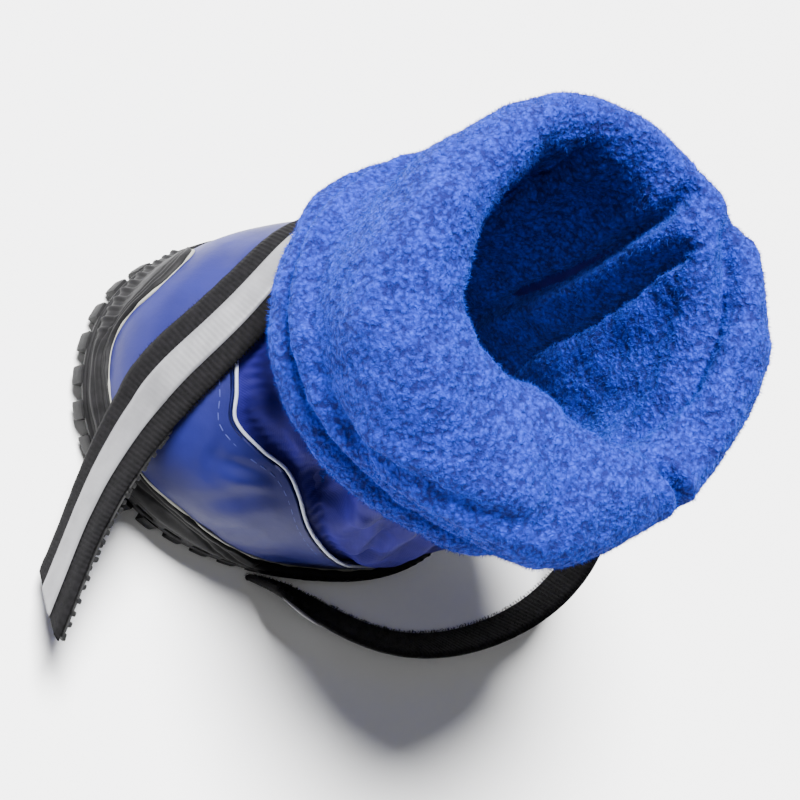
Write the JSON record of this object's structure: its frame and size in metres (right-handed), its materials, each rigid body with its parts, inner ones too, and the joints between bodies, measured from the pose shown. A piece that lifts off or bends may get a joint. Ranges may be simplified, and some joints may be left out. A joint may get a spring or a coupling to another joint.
{
  "type": "dog shoe",
  "caption": "High winter dog shoe with a lugged rubber cup sole, leather upper, nylon shaft, turned-down fleece cuff and an open hook-and-loop strap with reflective tape",
  "frame": {"origin": "on the floor at the middle of the sole, on the tread's middle cross bar", "axes": "toe towards -Y, heel towards +Y, strap anchor at +X, up +Z"},
  "size_m": [0.1047, 0.1293, 0.1035],
  "materials": {
    "outsole": "matt moulded rubber",
    "insole": "short pile fleece",
    "upper": "smooth, half gloss",
    "shaft": "matt woven nylon",
    "fleece_cuff": "nubby pile fleece",
    "piping": "smooth reflective cord",
    "strap": "woven webbing, loop pile inside",
    "reflective_tape": "retroreflective, half gloss",
    "hook_patch": "hook pile"
  },
  "bodies": {
    "root": {"outsole": "outsole", "insole": "insole", "upper": "upper", "shaft": "shaft", "fleece_cuff": "fleece_cuff", "piping": "piping", "strap": "strap", "reflective_tape": "reflective_tape", "hook_patch": "hook_patch"}
  },
  "joints": []
}
